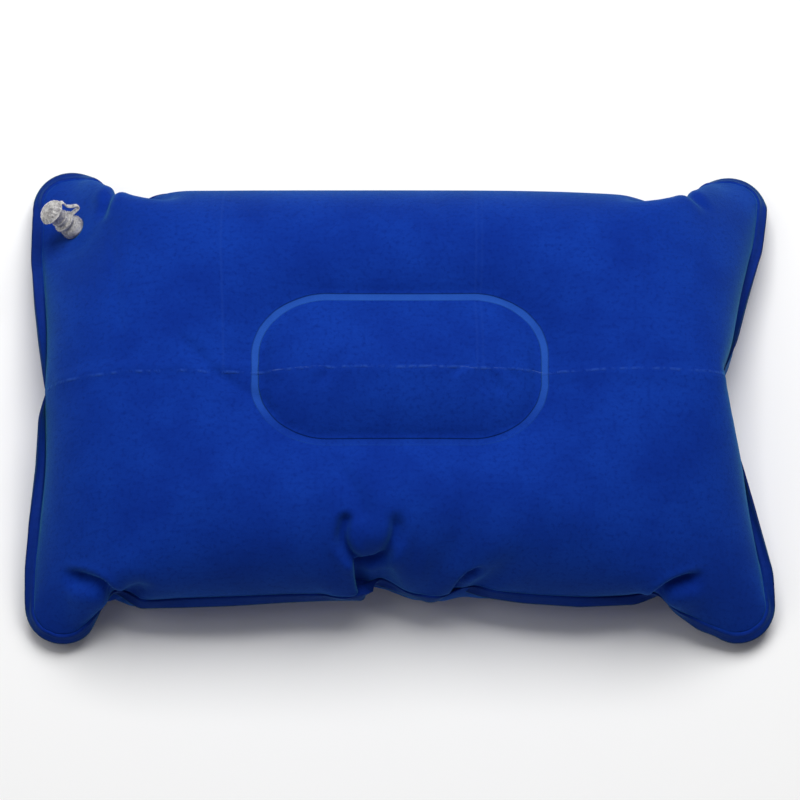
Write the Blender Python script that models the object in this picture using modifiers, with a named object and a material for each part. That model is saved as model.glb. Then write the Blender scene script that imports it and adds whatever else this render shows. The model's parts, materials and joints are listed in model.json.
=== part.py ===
"""Inflatable camp pillow, lying on its back sheet with the valve side up.

Two flocked PVC sheets are welded together in a flat flange all round. An oval sleeve inside ties them at one
distance, and a soft mouth valve stands in one corner of the front sheet. Units are metres, +Z is up, +X runs
along the pillow's length, and the origin is on the ground under the middle of the pillow.
"""

import math

import bmesh
import bpy
import numpy as np
from mathutils import Matrix, Vector

MM = 0.001

# sheets and rim
SHEET = 0.8 * MM  # flocked PVC, foil and pile together
GAP = 0.3 * MM  # clearance between pieces that touch or are welded
FLANGE = 8.0 * MM  # width of the welded flange
TOP = 88.0 * MM  # height of the inflated pillow
EAR_R = 24.0 * MM  # radius of the rounded corners

# corner ears: centre x, centre y, height of the flange there, first and last angle of the arc in degrees
EARS = {
    "near_left": (-192.0, -119.0, 15.0, 180.0, 330.0),
    "near_right": (191.0, -118.0, 15.0, 225.0, 365.0),
    "far_right": (192.0, 116.0, 16.0, 0.0, 140.0),
    "far_left": (-191.0, 117.0, 16.0, 45.0, 190.0),
}
EAR_POINTS = 7
LEVEL_PASSES = 4  # times that the flange's height is eased along the rim

# rim between the ears, anticlockwise: x, y and height in millimetres
NEAR_EDGE = (
    (-165, -119, 27),
    (-150, -126, 31),
    (-125, -128, 34),
    (-95, -126, 34),
    (-65, -124, 34),
    (-40, -122, 34),
    (-19, -116, 34),
    (3, -119, 34),
    (20, -123, 34),
    (45, -122, 34),
    (75, -126, 34),
    (103, -127, 34),
    (130, -126, 33),
    (150, -123, 30),
    (162, -129, 25),
)
RIGHT_EDGE = (
    (211, -95, 27),
    (205, -68, 35),
    (198, -42, 42),
    (192, -17, 46),
    (189, 8, 48),
    (197, 32, 43),
    (205, 60, 34),
    (212, 90, 24),
)
FAR_EDGE = (
    (166, 126, 27),
    (140, 127, 31),
    (100, 129, 32),
    (60, 130, 34),
    (20, 130, 34),
    (-20, 130, 34),
    (-60, 129, 34),
    (-100, 128, 32),
    (-140, 125, 31),
    (-166, 123, 27),
)
LEFT_EDGE = (
    (-214, 85, 27),
    (-213, 60, 36),
    (-209, 30, 43),
    (-205, 2, 48),
    (-207, -20, 46),
    (-209, -48, 38),
    (-212, -78, 29),
    (-214, -100, 22),
)

# oval weld and the sleeve under it
RING_X = 86.5 * MM  # half length
RING_Y = 47.0 * MM  # half width
RING_POWER = 3.2  # squareness of the oval
RING_BAND = 4.0 * MM  # width of the weld
RING_FRONT = 80.0 * MM  # height of the front sheet at the weld
RING_BACK = 11.0 * MM  # height of the back sheet at the weld
FRONT_CROWN = 6.0 * MM  # rise of the front sheet inside the oval
BACK_CROWN = 8.0 * MM  # fall of the back sheet inside the oval
SLEEVE = 0.5 * MM  # thickness of the sleeve

# shares of the way from the seam to the weld at which the lobe's section is set
LOBE_STEPS = (0.0, 0.025, 0.08, 0.17, 0.3, 0.48, 0.7, 0.88, 1.0)
LOBE_REACH = 0.46  # share at which the lobe is fully high beside the long edges
DIP_START = 0.7  # share at which it starts to fall to the weld
EAR_REACH = 0.75  # the same in the corners, which are thinner
EAR_START = 0.62  # share of the way to an ear's tip at which the corner starts to thin
EAR_SPAN = 0.3  # share over which it gets fully thin
EAR_POWER = 0.9  # how much later the thin corner rises than the long edges
INNER_STEPS = (0.75, 0.4)

# valve: seat on the front sheet, and the way that it points
SEAT = Vector((-190.0, 100.0, 38.0)) * MM
VALVE_AXIS = Vector((-0.62, 0.24, 0.75)).normalized()
STRAP_WAY = Vector((0.67, 0.63, 0.39))  # side of the stem that the strap is on
SEAT_FLAT_R = 17.0 * MM  # flat round the valve
SEAT_BLEND_R = 34.0 * MM
HOLE_R = 9.6 * MM  # hole in the front sheet
HOLE_DEPTH = 12.0 * MM  # length of the cutter that makes it
FLANGE_R = 13.0 * MM  # weld disc under the sheet
FLANGE_BORE = 8.1 * MM
FLANGE_THICK = 0.6 * MM
SKIRT_R = 9.2 * MM
SKIRT_HEIGHT = 7.4 * MM
SKIRT_BEND = 2.0 * MM  # height at which the skirt's wall starts to round over
SKIRT_WALL = 1.0 * MM
STEM_R = 5.2 * MM
STEM_BORE = 3.4 * MM
STEM_FOOT = 4.8 * MM
COLLAR_R = 6.6 * MM
COLLAR_LOW = 7.9 * MM
COLLAR_HIGH = 9.5 * MM
LIP_R = 5.9 * MM
MOUTH = 19.0 * MM  # height of the stem's mouth over the sheet
HINGE_OUT = 8.7 * MM  # strap's bending line, from the stem's axis
PLUG_R = 6.3 * MM
PLUG_HEIGHT = 5.8 * MM
PLUG_EDGE = 0.5 * MM  # rounding of the head's lower rim
NOSE_LENGTH = 6.0 * MM
NOSE_PLAY = 0.25 * MM
STRAP_WIDTH = 3.4 * MM
STRAP_THICK = 1.0 * MM
STRAP_REACH = 10.6 * MM  # how far out the strap's bow comes from the stem's axis
STRAP_STRAIGHT = 1.2 * MM  # straight stretch at each end of the bow
STRAP_LIFT = 1.6 * MM  # height over the stem's mouth at which it joins the plug
FLAP_R = 4.4 * MM
FLAP_THICK = 0.6 * MM
FLAP_HINGE = 4.6 * MM
TURNS = 32  # sides of the round pieces


def clear_scene():
    for old in list(bpy.data.objects):
        bpy.data.objects.remove(old, do_unlink=True)


def new_collection(name):
    collection = bpy.data.collections.new(name)
    bpy.context.scene.collection.children.link(collection)
    return collection


def material(name, colour, roughness, metallic=0.0, transmission=0.0):
    made = bpy.data.materials.new(name)
    made.use_nodes = True
    shader = made.node_tree.nodes["Principled BSDF"]
    shader.inputs["Base Color"].default_value = (*colour, 1.0)
    shader.inputs["Roughness"].default_value = roughness
    shader.inputs["Metallic"].default_value = metallic
    shader.inputs["Transmission Weight"].default_value = transmission
    return made


def add_object(name, mesh, look, collection, parent=None, at=(0, 0, 0)):
    """An object whose mesh is already in its own axes, with its origin at a place in its parent's axes."""
    mesh.materials.append(look)
    made = bpy.data.objects.new(name, mesh)
    made.parent = parent
    made.location = at
    collection.objects.link(made)
    return made


def smooth(mesh, angle=40.0):
    mesh.shade_smooth()
    mesh.set_sharp_from_angle(angle=math.radians(angle))


def ear(name):
    x, y, height, first, last = EARS[name]
    radius = EAR_R / MM
    turn = np.radians(np.linspace(first, last, EAR_POINTS))
    return [(x + radius * math.cos(a), y + radius * math.sin(a), height) for a in turn]


def rim_points():
    """Outer edge of the flange, anticlockwise from the near left ear, centred on the origin."""
    rim = [*ear("near_left"), *NEAR_EDGE, *ear("near_right"), *RIGHT_EDGE]
    rim += [*ear("far_right"), *FAR_EDGE, *ear("far_left"), *LEFT_EDGE]
    points = np.array(rim) * MM
    points[:, :2] -= (points[:, :2].min(axis=0) + points[:, :2].max(axis=0)) / 2
    for _ in range(LEVEL_PASSES):
        before, after = np.roll(points[:, 2], 1), np.roll(points[:, 2], -1)
        points[:, 2] = (before + 2 * points[:, 2] + after) / 4
    return points


def facing_turns(points):
    """Angle round the oval for each rim point: its corners face the ears, and each side faces its edge."""
    steps = np.linalg.norm(points[:, :2] - np.roll(points[:, :2], 1, axis=0), axis=1)
    along = np.cumsum(steps)
    counts = (EAR_POINTS + len(NEAR_EDGE), EAR_POINTS + len(RIGHT_EDGE), EAR_POINTS + len(FAR_EDGE))
    tips = EAR_POINTS // 2 + np.concatenate([[0], np.cumsum(counts)])
    where = [*along[tips], along[tips[0]] + along[-1]]
    placed = np.where(along < along[tips[0]], along + along[-1], along)
    return np.radians(np.interp(placed, where, [-135, -45, 45, 135, 225]))


def inward(points):
    """Unit vectors in plan that point to the inside of an anticlockwise loop."""
    along = np.roll(points, -2, axis=0) - np.roll(points, 2, axis=0)
    normal = np.stack([-along[:, 1], along[:, 0]], axis=1)
    return normal / np.linalg.norm(normal, axis=1)[:, None]


def oval(points, half_x, half_y):
    """The point of the oval that faces each rim point."""
    turn = facing_turns(points)
    reach = (np.abs(np.cos(turn)) ** RING_POWER + np.abs(np.sin(turn)) ** RING_POWER) ** (-1 / RING_POWER)
    return np.stack([half_x * reach * np.cos(turn), half_y * reach * np.sin(turn)], axis=1)


def corner_share(points):
    """1 at the tips of the ears and 0 along the middle of each edge."""
    span = points[:, :2].max(axis=0)
    share = np.abs(points[:, 0] / span[0]) * np.abs(points[:, 1] / span[1])
    return np.clip((share - EAR_START) / EAR_SPAN, 0.0, 1.0)


def rise(share, reach):
    """Height of a lobe's round side, from 0 at the seam to 1 where it is fully high."""
    t = np.minimum(share / reach, 1.0)
    return np.sqrt(1 - (1 - t) ** 2)


def seat_height(x, y):
    """Height of the valve's seating plane."""
    return SEAT.z - (VALVE_AXIS.x * (x - SEAT.x) + VALVE_AXIS.y * (y - SEAT.y)) / VALVE_AXIS.z


def seat_blend(plan, height):
    """Brings the front sheet onto the valve's seating plane round the valve."""
    away = np.hypot(plan[:, 0] - SEAT.x, plan[:, 1] - SEAT.y)
    t = np.clip((away - SEAT_FLAT_R) / (SEAT_BLEND_R - SEAT_FLAT_R), 0.0, 1.0)
    weight = 1 - t * t * (3 - 2 * t)
    return height * (1 - weight) + seat_height(plan[:, 0], plan[:, 1]) * weight


def sheet_loops(front):
    """Closed loops of one sheet's outer surface, from the flange's edge to the oval and on to the middle."""
    rim = rim_points()
    side = 1 if front else -1
    level = rim[:, 2]
    corner = corner_share(rim)
    flange_face = level + side * (GAP + SHEET)
    seam = rim[:, :2] + inward(rim) * FLANGE
    weld = oval(rim, RING_X + RING_BAND / 2, RING_Y + RING_BAND / 2)
    crown = TOP if front else 0.0
    tied = RING_FRONT if front else RING_BACK
    loops = [np.column_stack([rim[:, :2], flange_face])]
    for share in LOBE_STEPS:
        plan = seam * (1 - share) + weld * share
        reach = LOBE_REACH + (EAR_REACH - LOBE_REACH) * corner
        up = rise(share, reach) ** (1 + EAR_POWER * corner)
        dip = max(0.0, (share - DIP_START) / (1 - DIP_START)) ** 2
        height = flange_face * (1 - up) + crown * up
        height = height * (1 - dip) + tied * dip
        if front and share > 0:
            height = seat_blend(plan, height)
        loops.append(np.column_stack([plan, height]))
    inner = oval(rim, RING_X - RING_BAND / 2, RING_Y - RING_BAND / 2)
    loops.append(np.column_stack([inner, np.full(len(rim), tied)]))
    swell = FRONT_CROWN if front else -BACK_CROWN
    for share in INNER_STEPS:
        loops.append(np.column_stack([inner * share, np.full(len(rim), tied + swell * (1 - share**2))]))
    return loops, Vector((0, 0, tied + swell))


def loft(name, loops, middle=None):
    """Surface through loops of equally many points, closed over the last loop by a middle point."""
    bm = bmesh.new()
    rows = [[bm.verts.new(point) for point in loop] for loop in loops]
    for outer, inner in zip(rows, rows[1:]):
        for i in range(len(outer)):
            k = (i + 1) % len(outer)
            bm.faces.new((outer[i], outer[k], inner[k], inner[i]))
    if middle is not None:
        hub = bm.verts.new(middle)
        last = rows[-1]
        for i in range(len(last)):
            bm.faces.new((last[i], last[(i + 1) % len(last)], hub))
    mesh = bpy.data.meshes.new(name)
    bm.to_mesh(mesh)
    bm.free()
    return mesh


def thicken(obj, thickness, offset=-1.0):
    shell = obj.modifiers.new("thickness", "SOLIDIFY")
    shell.thickness = thickness
    shell.offset = offset


def front_panel(look, collection, cutters, valve_empty):
    loops, middle = sheet_loops(front=True)
    mesh = loft("front_panel", loops, middle)
    smooth(mesh)
    panel = add_object("front_panel", mesh, look, collection)
    thicken(panel, SHEET)
    hole = bpy.data.meshes.new("valve_hole")
    bm = bmesh.new()
    bmesh.ops.create_cone(
        bm, cap_ends=True, segments=TURNS, radius1=HOLE_R, radius2=HOLE_R, depth=HOLE_DEPTH
    )
    bm.to_mesh(hole)
    bm.free()
    cutter = bpy.data.objects.new("valve_hole", hole)
    cutter.parent = valve_empty
    cutter.hide_render = True
    cutter.display_type = "WIRE"
    cutters.objects.link(cutter)
    cut = panel.modifiers.new("valve_hole", "BOOLEAN")
    cut.object = cutter
    cut.solver = "EXACT"
    return panel


def back_panel(look, collection):
    loops, middle = sheet_loops(front=False)
    mesh = loft("back_panel", loops, middle)
    mesh.flip_normals()
    smooth(mesh)
    panel = add_object("back_panel", mesh, look, collection)
    thicken(panel, SHEET)
    return panel


def tie_sleeve(look, collection):
    """Oval wall with a welding lip turned in at each end."""
    rim = rim_points()
    count = len(rim)
    wall = oval(rim, RING_X + RING_BAND / 2 - SLEEVE, RING_Y + RING_BAND / 2 - SLEEVE)
    lip = oval(rim, RING_X - RING_BAND / 2, RING_Y - RING_BAND / 2)
    high = RING_FRONT - SHEET - 1.5 * GAP
    low = RING_BACK + SHEET + 1.5 * GAP
    loops = [
        np.column_stack([plan, np.full(count, height)])
        for plan, height in ((lip, low), (wall, low), (wall, high), (lip, high))
    ]
    mesh = loft("tie_sleeve", loops)
    smooth(mesh)
    sleeve = add_object("tie_sleeve", mesh, look, collection)
    thicken(sleeve, SLEEVE)
    return sleeve


def turned(name, profile, look, collection, parent, at=(0, 0, 0), closed=True):
    """A profile of radius and height, run down its outer side, turned round the valve's axis."""
    mesh = bpy.data.meshes.new(name)
    count = len(profile)
    edges = [(i, i + 1) for i in range(count - 1)]
    if closed:
        edges.append((count - 1, 0))
    mesh.from_pydata([(r, 0.0, z) for r, z in profile], edges, [])
    made = add_object(name, mesh, look, collection, parent, at)
    screw = made.modifiers.new("turn", "SCREW")
    screw.steps = TURNS
    screw.render_steps = TURNS
    screw.use_merge_vertices = True
    screw.merge_threshold = 0.00001
    screw.use_smooth_shade = True
    return made


def valve_flange(look, collection, parent):
    top = -SHEET - GAP
    bottom = top - FLANGE_THICK
    profile = [(FLANGE_R, top), (FLANGE_R, bottom), (FLANGE_BORE, bottom), (FLANGE_BORE, top)]
    return turned("valve_flange", profile, look, collection, parent)


def valve_skirt(look, collection, parent):
    """Soft dome that folds when the stem is pushed in."""
    wall = SKIRT_WALL
    foot = -SHEET
    turn = np.radians(np.linspace(80, 0, 7))
    throat_r = STEM_R + GAP
    reach = SKIRT_R - throat_r
    height = SKIRT_HEIGHT - SKIRT_BEND
    outer = [(throat_r + reach * math.cos(a), SKIRT_BEND + height * math.sin(a)) for a in turn]
    inner = [
        (throat_r + (reach - wall) * math.cos(a), SKIRT_BEND + (height - wall) * math.sin(a))
        for a in turn[::-1]
    ]
    lip_r = STEM_R + 1.5 * GAP
    throat = [(lip_r, SKIRT_HEIGHT - 1.1 * wall), (lip_r, SKIRT_HEIGHT)]
    profile = [*outer, (SKIRT_R, foot), (SKIRT_R - wall, foot), *inner, *throat]
    return turned("valve_skirt", profile, look, collection, parent)


def valve_stem(look, collection, parent):
    edge = 0.4 * MM
    profile = [
        (LIP_R - edge, MOUTH),
        (LIP_R, MOUTH - edge),
        (LIP_R, MOUTH - 3.5 * edge),
        (STEM_R, MOUTH - 5 * edge),
        (STEM_R, COLLAR_HIGH + edge),
        (COLLAR_R - edge, COLLAR_HIGH),
        (COLLAR_R, COLLAR_HIGH - edge),
        (COLLAR_R, COLLAR_LOW + edge),
        (COLLAR_R - edge, COLLAR_LOW),
        (STEM_R, COLLAR_LOW),
        (STEM_R, STEM_FOOT),
        (STEM_BORE, STEM_FOOT),
        (STEM_BORE, MOUTH - edge),
        (STEM_BORE + edge, MOUTH),
    ]
    return turned("valve_stem", profile, look, collection, parent)


def valve_plug(look, collection, parent):
    """Domed stopper, whose nose is shaped to swing out of the bore about the strap's bending line."""
    base = GAP
    heads = np.radians(np.linspace(90, 12, 7))
    dome = [(PLUG_R * math.cos(a), base + PLUG_HEIGHT * math.sin(a)) for a in heads]
    dome[0] = (0.0, base + PLUG_HEIGHT)
    rim = [(PLUG_R, base + PLUG_EDGE), (PLUG_R - PLUG_EDGE, base)]
    nose = []
    for depth in np.linspace(0, NOSE_LENGTH, 5):
        radius = math.sqrt((HINGE_OUT + STEM_BORE) ** 2 - depth**2) - HINGE_OUT - NOSE_PLAY
        nose.append((radius, base - depth))
    tip = [(0.0, base - NOSE_LENGTH)]
    profile = [*dome, *rim, *nose, *tip]
    plug = turned("valve_plug", profile, look, collection, parent, (HINGE_OUT, 0, MOUTH), closed=False)
    plug.modifiers["turn"].object = parent
    plug.data.transform(Matrix.Translation((-HINGE_OUT, 0, 0)))
    return plug


def valve_strap(look, collection, parent):
    """Flat strap that leaves the collar, bulges out and joins the side of the plug."""
    low = (COLLAR_LOW + COLLAR_HIGH) / 2
    high = MOUTH + GAP + STRAP_LIFT
    near = COLLAR_R + GAP
    start = near + STRAP_STRAIGHT
    middle = (low + high) / 2
    half_height = (high - low) / 2
    turn = np.radians(np.linspace(-90, 90, 9))
    bend = [
        (start + (STRAP_REACH - start) * math.cos(a), middle + half_height * math.sin(a)) for a in turn
    ]
    path = [(near, low), *bend, (PLUG_R + GAP, high)]
    bm = bmesh.new()
    half = STRAP_WIDTH / 2
    rows = [(bm.verts.new((x, -half, z)), bm.verts.new((x, half, z))) for x, z in path]
    for (a, b), (c, d) in zip(rows, rows[1:]):
        bm.faces.new((a, b, d, c))
    mesh = bpy.data.meshes.new("valve_strap")
    bm.to_mesh(mesh)
    bm.free()
    smooth(mesh)
    strap = add_object("valve_strap", mesh, look, collection, parent)
    thicken(strap, STRAP_THICK, offset=0.0)
    return strap


def valve_flap(look, collection, parent):
    """One-way flap under the stem's foot, hinged at its edge."""
    mesh = bpy.data.meshes.new("valve_flap")
    bm = bmesh.new()
    middle = Matrix.Translation((FLAP_HINGE, 0, -FLAP_THICK / 2))
    bmesh.ops.create_cone(
        bm, cap_ends=True, segments=TURNS, radius1=FLAP_R, radius2=FLAP_R, depth=FLAP_THICK, matrix=middle
    )
    bm.to_mesh(mesh)
    bm.free()
    smooth(mesh)
    return add_object("valve_flap", mesh, look, collection, parent, (-FLAP_HINGE, 0, STEM_FOOT - GAP))


def valve_frame(collection):
    """Empty on the sheet's surface, +Z along the stem and +X towards the strap."""
    up = VALVE_AXIS
    across = (STRAP_WAY - up * STRAP_WAY.dot(up)).normalized()
    side = up.cross(across)
    turn = Matrix((across, side, up)).transposed().to_4x4()
    empty = bpy.data.objects.new("valve_axis", None)
    empty.matrix_world = Matrix.Translation(SEAT) @ turn
    empty.empty_display_size = 0.01
    collection.objects.link(empty)
    return empty


def main():
    clear_scene()
    pillow = new_collection("camp_pillow")
    cutters = new_collection("cutters")
    blue = material("flocked_blue", (0.005, 0.035, 0.30), 0.9)
    inner_blue = material("sleeve_pvc", (0.01, 0.04, 0.22), 0.55)
    clear = material("clear_pvc", (0.80, 0.82, 0.84), 0.12, transmission=0.8)
    valve = valve_frame(pillow)
    front_panel(blue, pillow, cutters, valve)
    back_panel(blue, pillow)
    tie_sleeve(inner_blue, pillow)
    valve_flange(clear, pillow, valve)
    valve_skirt(clear, pillow, valve)
    valve_stem(clear, pillow, valve)
    valve_plug(clear, pillow, valve)
    valve_strap(clear, pillow, valve)
    valve_flap(clear, pillow, valve)


main()
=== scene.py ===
"""Looks of the inflatable camp pillow: blown-up flocked sheets, packing creases and a clear valve."""
import json
import math

import bmesh
import bpy
import numpy as np
from mathutils import Matrix, Vector


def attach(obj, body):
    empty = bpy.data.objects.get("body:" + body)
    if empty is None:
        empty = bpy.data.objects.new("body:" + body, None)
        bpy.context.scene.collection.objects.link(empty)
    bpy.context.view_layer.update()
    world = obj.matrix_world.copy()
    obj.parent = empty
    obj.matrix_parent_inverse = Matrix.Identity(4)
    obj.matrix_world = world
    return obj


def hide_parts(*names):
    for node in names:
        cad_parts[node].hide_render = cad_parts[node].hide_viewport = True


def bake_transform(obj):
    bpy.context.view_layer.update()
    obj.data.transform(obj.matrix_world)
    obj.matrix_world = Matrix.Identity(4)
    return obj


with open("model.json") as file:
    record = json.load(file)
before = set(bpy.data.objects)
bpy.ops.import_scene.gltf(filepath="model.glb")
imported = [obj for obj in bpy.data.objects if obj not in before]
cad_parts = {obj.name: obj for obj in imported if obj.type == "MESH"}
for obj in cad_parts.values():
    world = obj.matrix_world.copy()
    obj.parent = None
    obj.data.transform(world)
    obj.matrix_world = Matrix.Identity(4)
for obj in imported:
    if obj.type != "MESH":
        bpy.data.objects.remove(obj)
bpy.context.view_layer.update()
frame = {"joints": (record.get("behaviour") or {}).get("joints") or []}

# ---------------------------------------------------------------- the sheets as they are cut, in metres
FLAT_X = 0.455
FLAT_Y = 0.301
CORNER_R = 0.028
FLANGE = 0.0062
CELL = 0.0052
SHEET = 0.0007

# oval weld of the inner sleeve
RING_X = 0.0828
RING_Y = 0.0440
RING_R = 0.036
RING_SQUEEZE = 0.85  # makes the corners longer along X
RING_PLAN = 0.985
RING_SOFT = 0.0028
RING_FRONT = 0.079
RING_BACK = 0.010

# ---------------------------------------------------------------- the rim of the blown-up pillow
RIM_MIDDLE = (-0.0008, 0.0046)  # middle of the curve's own points
EAR_R = 0.022
EAR_POINTS = 15
LEVEL_PASSES = 4  # times that the flange's height is eased along the rim
EARS = {
    "near_left": (-0.1935, -0.1159, 0.010, 180, 315),
    "near_right": (0.1920, -0.1157, 0.010, 240, 365),
    "far_right": (0.1940, 0.1245, 0.010, 0, 140),
    "far_left": (-0.1955, 0.1280, 0.010, 45, 185),
}
NEAR_EDGE = (
    (-0.1710, -0.1179, 0.019),
    (-0.1640, -0.1109, 0.025),
    (-0.1500, -0.1219, 0.032),
    (-0.1250, -0.1224, 0.034),
    (-0.0950, -0.1217, 0.034),
    (-0.0650, -0.1197, 0.034),
    (-0.0400, -0.1184, 0.034),
    (-0.0215, -0.1177, 0.033),
    (-0.0195, -0.1074, 0.031),
    (-0.0050, -0.1114, 0.028),
    (0.0180, -0.1189, 0.026),
    (0.0310, -0.1101, 0.028),
    (0.0460, -0.1156, 0.030),
    (0.0680, -0.1195, 0.033),
    (0.1020, -0.1220, 0.034),
    (0.1340, -0.1200, 0.033),
    (0.1480, -0.1130, 0.028),
    (0.1550, -0.1215, 0.022),
    (0.1690, -0.1310, 0.016),
)
RIGHT_EDGE = (
    (0.2128, -0.100, 0.024),
    (0.2050, -0.075, 0.033),
    (0.1970, -0.047, 0.041),
    (0.1880, -0.018, 0.046),
    (0.1845, 0.0065, 0.048),
    (0.1935, 0.034, 0.042),
    (0.2015, 0.063, 0.034),
    (0.2115, 0.095, 0.024),
)
FAR_EDGE = (
    (0.1675, 0.1154, 0.023),
    (0.1570, 0.1194, 0.027),
    (0.1380, 0.1209, 0.031),
    (0.1000, 0.1237, 0.034),
    (0.0600, 0.1262, 0.034),
    (0.0200, 0.1277, 0.034),
    (-0.0200, 0.1282, 0.034),
    (-0.0600, 0.1272, 0.034),
    (-0.1000, 0.1252, 0.034),
    (-0.1380, 0.1270, 0.031),
    (-0.1560, 0.1250, 0.027),
    (-0.1670, 0.1200, 0.023),
)
LEFT_EDGE = (
    (-0.2170, 0.090, 0.026),
    (-0.2135, 0.060, 0.034),
    (-0.2095, 0.033, 0.041),
    (-0.2055, 0.010, 0.046),
    (-0.2040, 0.002, 0.048),
    (-0.2080, -0.012, 0.044),
    (-0.2095, -0.040, 0.038),
    (-0.2135, -0.072, 0.030),
    (-0.2155, -0.096, 0.022),
)
RIGHT_PINCH = 4  # place in RIGHT_EDGE of the fold crease's end
LEFT_PINCH = 4

# ---------------------------------------------------------------- valve seat, from the joints of the frame
PUSH = next(j for j in frame["joints"] if j["name"] == "stem_push")
SEAT = np.array([-0.190, 0.100, 0.038])
VALVE_UP = -np.array(PUSH["axis"], float)
HINGE = next(j for j in frame["joints"] if j["name"] == "plug_open")
SEAT_R = 0.014
HOLE_R = 0.0067
SEAT_EDGE = 0.008
SEAT_REACH = 0.03  # height over or under the seat within which the front sheet is held flat

# ---------------------------------------------------------------- inflation
STEPS = 1200
BLOW = 1.6  # pressure while the pillow fills
PRESSURE = 0.9  # pressure once the sheets are taut
DAMPING = 0.97
STRETCH = 1.0
COMPRESS = 0.35
SHEAR = 0.7
SEAM = 2  # grid rows across the flange, over whose inner edge the sheet bends freely
BEND_NEAR = 0.2
BEND_FAR = 0.06
RIM_HOLD = 0.8
HOLD = 0.5  # share of the gap closed each step at the oval and at the valve's seat
FILL = 0.35  # share of the steps in which the rim and the oval reach their places
TAUT_START = 0.5  # share of the steps after which the pressure falls
TAUT_TIME = 0.3  # share of the steps in which it falls
START_HEIGHT = 0.04
START_BULGE = 0.02
GROUND = 0.0006  # height of the lowest points, half a sheet over the floor
LIMIT_SLACK = 0.05  # how much further out the right side may be at the start

# pinch in the right side where the fold crease runs out, and how fast the side swells beyond it
PINCH_X = 0.1845
PINCH_Y = 0.006
PINCH_FAR = 0.45
PINCH_NEAR = 0.17


def axis_points(length):
    inner = length / 2 - FLANGE
    count = 2 * round(inner / CELL)
    middle = np.linspace(-inner, inner, count + 1)
    edge = length / 2
    return np.concatenate([[-edge, -edge + FLANGE / 2], middle, [edge - FLANGE / 2, edge]])


def flat_sheet():
    """Grid of the flat sheet, whose outer rows follow the rounded corners."""
    x, y = np.meshgrid(axis_points(FLAT_X), axis_points(FLAT_Y))
    ax, ay = np.abs(x), np.abs(y)
    cx, cy = FLAT_X / 2 - CORNER_R, FLAT_Y / 2 - CORNER_R
    a, b = (ax - cx) / CORNER_R, (ay - cy) / CORNER_R
    corner = (a > 0) & (b > 0)
    reach = np.maximum(a, b) * CORNER_R
    turn = np.arctan2(b, a)
    ax = np.where(corner, cx + reach * np.cos(turn), ax)
    ay = np.where(corner, cy + reach * np.sin(turn), ay)
    return np.stack([np.copysign(ax, x), np.copysign(ay, y)], axis=-1)


def rim_order(shape):
    """Rows and columns of the rim, anticlockwise from the near left corner, and the places of the corners."""
    ny, nx = shape
    walk = [(0, j) for j in range(nx - 1)] + [(i, nx - 1) for i in range(ny - 1)]
    walk += [(ny - 1, j) for j in range(nx - 1, 0, -1)] + [(i, 0) for i in range(ny - 1, 0, -1)]
    corners = [0, nx - 1, nx + ny - 2, 2 * nx + ny - 3]
    rows, columns = np.array(walk).T
    return rows, columns, corners


def ear(name):
    x, y, height, first, last = EARS[name]
    turn = np.radians(np.linspace(first, last, EAR_POINTS))
    return [(x + EAR_R * math.cos(a), y + EAR_R * math.sin(a), height) for a in turn]


def rim_curve():
    points = [*ear("near_left"), *NEAR_EDGE, *ear("near_right"), *RIGHT_EDGE]
    points += [*ear("far_right"), *FAR_EDGE, *ear("far_left"), *LEFT_EDGE]
    points = np.array(points)
    points[:, :2] -= RIM_MIDDLE
    for _ in range(LEVEL_PASSES):
        points[:, 2] = (np.roll(points[:, 2], 1) + 2 * points[:, 2] + np.roll(points[:, 2], -1)) / 4
    return points


def lengths(loop):
    steps = np.linalg.norm(np.roll(loop, -1, axis=0) - loop, axis=1)
    return np.concatenate([[0.0], np.cumsum(steps)])


def rim_goal(flat, rows, columns, corners):
    """Where each rim point of the flat sheet goes, matched at the corners and at the fold crease's ends."""
    cut = flat[rows, columns]
    along = lengths(cut)
    ny = len(flat)
    right = corners[1] + (ny - 1) // 2
    left = corners[3] + (ny - 1) // 2
    curve = rim_curve()
    run = lengths(curve)
    tip = EAR_POINTS // 2
    starts = np.cumsum([0, *(EAR_POINTS + len(edge) for edge in (NEAR_EDGE, RIGHT_EDGE, FAR_EDGE))])
    tips = [tip + start for start in starts]
    right_end = starts[1] + EAR_POINTS + RIGHT_PINCH
    left_end = starts[3] + EAR_POINTS + LEFT_PINCH
    here = [along[k] for k in (corners[0], corners[1], right, corners[2], corners[3], left)]
    there = [run[k] for k in (tips[0], tips[1], right_end, tips[2], tips[3], left_end)]
    here.append(here[0] + along[-1])
    there.append(there[0] + run[-1])
    at = np.interp(along[:-1], here, there) % run[-1]
    closed = np.vstack([curve, curve[:1]])
    return np.stack([np.interp(at, run, closed[:, k]) for k in range(3)], axis=1)


def box_distance(place, half_x, half_y, radius):
    """Signed distance from the outline of a round-cornered box."""
    q = np.abs(place) - np.array([half_x - radius, half_y - radius])
    outside = np.hypot(np.maximum(q[..., 0], 0), np.maximum(q[..., 1], 0))
    return outside + np.minimum(np.maximum(q[..., 0], q[..., 1]), 0) - radius


def ring_distance(flat):
    """Signed distance from the oval weld's centre line, in the flat sheet."""
    return box_distance(flat * (RING_SQUEEZE, 1), RING_X * RING_SQUEEZE, RING_Y, RING_R)


def every(count, reach, first, stride):
    """Two slices that pair each chosen place with the one reach further on, each place used once."""
    pairs = len(range(first, count - reach, stride))
    span = (pairs - 1) * stride + 1
    return slice(first, first + span, stride), slice(first + reach, first + reach + span, stride)


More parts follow.
